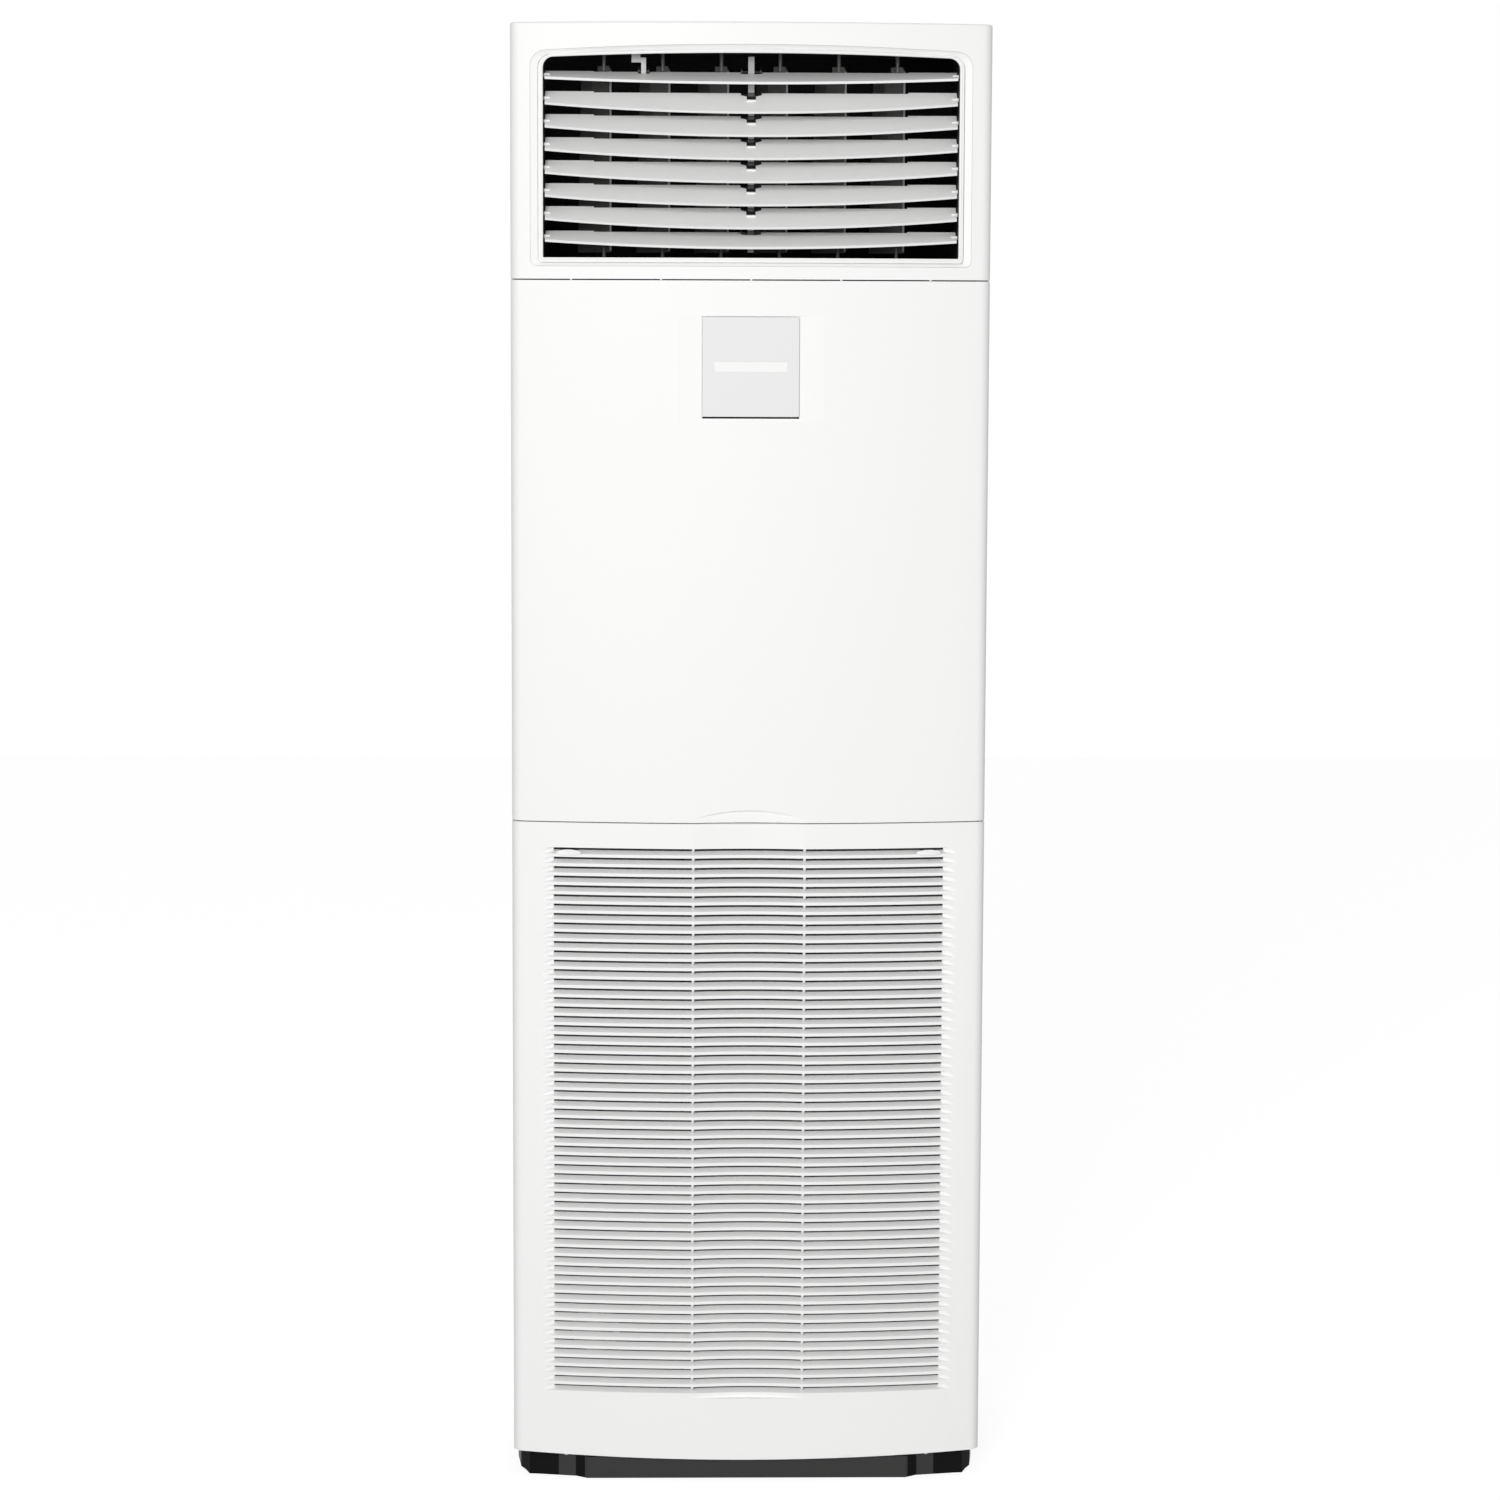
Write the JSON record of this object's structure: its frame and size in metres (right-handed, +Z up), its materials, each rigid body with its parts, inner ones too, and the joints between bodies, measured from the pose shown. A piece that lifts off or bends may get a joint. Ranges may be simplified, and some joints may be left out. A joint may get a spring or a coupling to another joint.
{
  "type": "floor standing air conditioner",
  "caption": "Tall cabinet air conditioner with a bulged front: louvred outlet above, slatted intake grille below, on a dark plinth.",
  "frame": {"origin": "middle of the footprint, on the floor", "axes": "+X to the right seen from the front, -Y to the front, +Z up"},
  "size_m": [0.6, 0.35, 1.85],
  "materials": {
    "front_plastic": "satin",
    "display_plastic": "satin",
    "strip_plastic": "gloss",
    "painted_sheet": "satin",
    "galvanised_sheet": "satin",
    "plinth_plastic": "satin",
    "duct_plastic": "matte",
    "louvre_plastic": "satin",
    "vane_plastic": "satin",
    "link_plastic": "satin",
    "foam": "matte",
    "fin_aluminium": "satin",
    "copper": "satin",
    "brass": "satin",
    "drain_plastic": "satin",
    "hose_plastic": "matte",
    "filter_plastic": "matte",
    "filter_net_fabric": "matte",
    "fan_plastic": "satin",
    "steel": "satin",
    "motor_shell": "satin",
    "board": "gloss",
    "terminal_plastic": "matte"
  },
  "bodies": {
    "cabinet": {"base_plinth": "plinth_plastic", "base_plate": "galvanised_sheet", "left_side_panel": "painted_sheet", "right_side_panel": "painted_sheet", "rear_panel": "painted_sheet", "cabinet_screws": "steel", "top_cover": "front_plastic", "outlet_panel": "front_plastic", "middle_panel": "front_plastic", "display_plate": "display_plastic", "name_strip": "strip_plastic", "outlet_duct": "duct_plastic", "air_channel_liner": "foam", "front_baffle": "foam", "fan_deck": "galvanised_sheet", "drain_pan": "drain_plastic", "drain_hose": "hose_plastic", "evaporator_fins": "fin_aluminium", "evaporator_end_plates": "galvanised_sheet", "evaporator_return_bends": "copper", "gas_pipe": "copper", "liquid_pipe": "copper", "flare_nuts": "brass", "scroll_wall": "galvanised_sheet", "scroll_front_plate": "galvanised_sheet", "scroll_back_plate": "galvanised_sheet", "bell_mouth": "galvanised_sheet", "fan_motor": "motor_shell", "motor_bracket": "galvanised_sheet", "control_box": "galvanised_sheet", "control_box_cover": "galvanised_sheet", "control_board": "board", "terminal_block": "terminal_plastic", "louvre_motor": "motor_shell", "vane_motor": "motor_shell"},
    "grille": {"intake_grille": "front_plastic"},
    "latch_left": {"latch_tab_left": "front_plastic"},
    "latch_right": {"latch_tab_right": "front_plastic"},
    "filter": {"filter_frame": "filter_plastic", "filter_net": "filter_net_fabric"},
    "louvre_link": {"louvre_link_bar": "link_plastic"},
    "louvre_drive": {"louvre_drive_arm": "drain_plastic"},
    "crank": {"louvre_crank": "drain_plastic"},
    "vane_link": {"vane_link_rod": "vane_plastic"},
    "fan_rotor": {"fan_impeller": "fan_plastic", "fan_shaft": "steel"},
    "louvre_1": {"louvre_1": "louvre_plastic"},
    "louvre_2": {"louvre_2": "louvre_plastic"},
    "louvre_3": {"louvre_3": "louvre_plastic"},
    "louvre_4": {"louvre_4": "louvre_plastic"},
    "louvre_5": {"louvre_5": "louvre_plastic"},
    "louvre_6": {"louvre_6": "louvre_plastic"},
    "louvre_7": {"louvre_7": "louvre_plastic"},
    "louvre_8": {"louvre_8": "louvre_plastic"},
    "vane_1": {"vane_1": "vane_plastic"},
    "vane_2": {"vane_2": "vane_plastic"},
    "vane_3": {"vane_3": "vane_plastic"},
    "vane_4": {"vane_4": "vane_plastic"},
    "vane_5": {"vane_5": "vane_plastic"},
    "vane_6": {"vane_6": "vane_plastic"}
  },
  "joints": [
    {"name": "grille_hinge", "type": "hinge", "parent": "cabinet", "child": "grille", "pos_m": [0, -0.1645, 0.034], "axis": [1, 0, 0], "range_deg": [0, 40]},
    {"name": "latch_left_press", "type": "slide", "parent": "grille", "child": "latch_left", "axis": [0, 0, -1], "range_m": [0, 0.0025], "stiffness_N_per_m": 300, "springref_m": -0.003},
    {"name": "latch_right_press", "type": "slide", "parent": "grille", "child": "latch_right", "axis": [0, 0, -1], "range_m": [0, 0.0025], "stiffness_N_per_m": 300, "springref_m": -0.003},
    {"name": "filter_lift", "type": "slide", "parent": "grille", "child": "filter", "axis": [0, 0, 1], "range_m": [0, 0.01]},
    {"name": "louvre_swing_1", "type": "hinge", "parent": "cabinet", "child": "louvre_1", "pos_m": [0, -0.141, 1.7856], "axis": [1, 0, 0], "range_deg": [-35, 18]},
    {"name": "louvre_swing_2", "type": "hinge", "parent": "cabinet", "child": "louvre_2", "pos_m": [0, -0.141, 1.7572], "axis": [1, 0, 0], "range_deg": [-35, 18]},
    {"name": "louvre_swing_3", "type": "hinge", "parent": "cabinet", "child": "louvre_3", "pos_m": [0, -0.141, 1.7288], "axis": [1, 0, 0], "range_deg": [-35, 18]},
    {"name": "louvre_swing_4", "type": "hinge", "parent": "cabinet", "child": "louvre_4", "pos_m": [0, -0.141, 1.7004], "axis": [1, 0, 0], "range_deg": [-35, 18]},
    {"name": "louvre_swing_5", "type": "hinge", "parent": "cabinet", "child": "louvre_5", "pos_m": [0, -0.141, 1.672], "axis": [1, 0, 0], "range_deg": [-35, 18]},
    {"name": "louvre_swing_6", "type": "hinge", "parent": "cabinet", "child": "louvre_6", "pos_m": [0, -0.141, 1.6436], "axis": [1, 0, 0], "range_deg": [-35, 18]},
    {"name": "louvre_swing_7", "type": "hinge", "parent": "cabinet", "child": "louvre_7", "pos_m": [0, -0.141, 1.6152], "axis": [1, 0, 0], "range_deg": [-35, 18]},
    {"name": "louvre_swing_8", "type": "hinge", "parent": "cabinet", "child": "louvre_8", "pos_m": [0, -0.141, 1.5868], "axis": [1, 0, 0], "range_deg": [-35, 18]},
    {"name": "louvre_link_pivot", "type": "hinge", "parent": "louvre_1", "child": "louvre_link", "pos_m": [0, -0.13252, 1.7909], "axis": [1, 0, 0], "range_deg": [-18, 35]},
    {"name": "louvre_drive_pivot", "type": "hinge", "parent": "louvre_1", "child": "louvre_drive", "pos_m": [-0.134, -0.13252, 1.7909], "axis": [1, 0, 0], "range_deg": [-18, 35]},
    {"name": "crank_turn", "type": "hinge", "parent": "cabinet", "child": "crank", "pos_m": [-0.1435, -0.141, 1.831], "axis": [1, 0, 0], "range_deg": [-35, 18]},
    {"name": "vane_swing_1", "type": "hinge", "parent": "cabinet", "child": "vane_1", "pos_m": [-0.18375, -0.107, 1.68], "axis": [0, 0, 1], "range_deg": [-96, 6]},
    {"name": "vane_swing_2", "type": "hinge", "parent": "cabinet", "child": "vane_2", "pos_m": [-0.11025, -0.107, 1.68], "axis": [0, 0, 1], "range_deg": [-96, 6]},
    {"name": "vane_swing_3", "type": "hinge", "parent": "cabinet", "child": "vane_3", "pos_m": [-0.03675, -0.107, 1.68], "axis": [0, 0, 1], "range_deg": [-96, 6]},
    {"name": "vane_swing_4", "type": "hinge", "parent": "cabinet", "child": "vane_4", "pos_m": [0.03675, -0.107, 1.68], "axis": [0, 0, 1], "range_deg": [-96, 6]},
    {"name": "vane_swing_5", "type": "hinge", "parent": "cabinet", "child": "vane_5", "pos_m": [0.11025, -0.107, 1.68], "axis": [0, 0, 1], "range_deg": [-96, 6]},
    {"name": "vane_swing_6", "type": "hinge", "parent": "cabinet", "child": "vane_6", "pos_m": [0.18375, -0.107, 1.68], "axis": [0, 0, 1], "range_deg": [-96, 6]},
    {"name": "vane_link_pivot", "type": "hinge", "parent": "vane_1", "child": "vane_link", "pos_m": [-0.19861, -0.09362, 1.7852], "axis": [0, 0, 1], "range_deg": [-6, 96]},
    {"name": "fan_spin", "type": "hinge", "parent": "cabinet", "child": "fan_rotor", "pos_m": [0, 0.04, 0.47], "axis": [0, 1, 0], "continuous": true}
  ],
  "couplings": [
    {"joint": "louvre_swing_2", "follows": "louvre_swing_1", "ratio": 1},
    {"joint": "louvre_swing_3", "follows": "louvre_swing_1", "ratio": 1},
    {"joint": "louvre_swing_4", "follows": "louvre_swing_1", "ratio": 1},
    {"joint": "louvre_swing_5", "follows": "louvre_swing_1", "ratio": 1},
    {"joint": "louvre_swing_6", "follows": "louvre_swing_1", "ratio": 1},
    {"joint": "louvre_swing_7", "follows": "louvre_swing_1", "ratio": 1},
    {"joint": "louvre_swing_8", "follows": "louvre_swing_1", "ratio": 1},
    {"joint": "louvre_link_pivot", "follows": "louvre_swing_1", "ratio": -1},
    {"joint": "louvre_drive_pivot", "follows": "louvre_swing_1", "ratio": -1},
    {"joint": "crank_turn", "follows": "louvre_swing_1", "ratio": 1},
    {"joint": "vane_swing_2", "follows": "vane_swing_1", "ratio": 1},
    {"joint": "vane_swing_3", "follows": "vane_swing_1", "ratio": 1},
    {"joint": "vane_swing_4", "follows": "vane_swing_1", "ratio": 1},
    {"joint": "vane_swing_5", "follows": "vane_swing_1", "ratio": 1},
    {"joint": "vane_swing_6", "follows": "vane_swing_1", "ratio": 1},
    {"joint": "vane_link_pivot", "follows": "vane_swing_1", "ratio": -1}
  ]
}
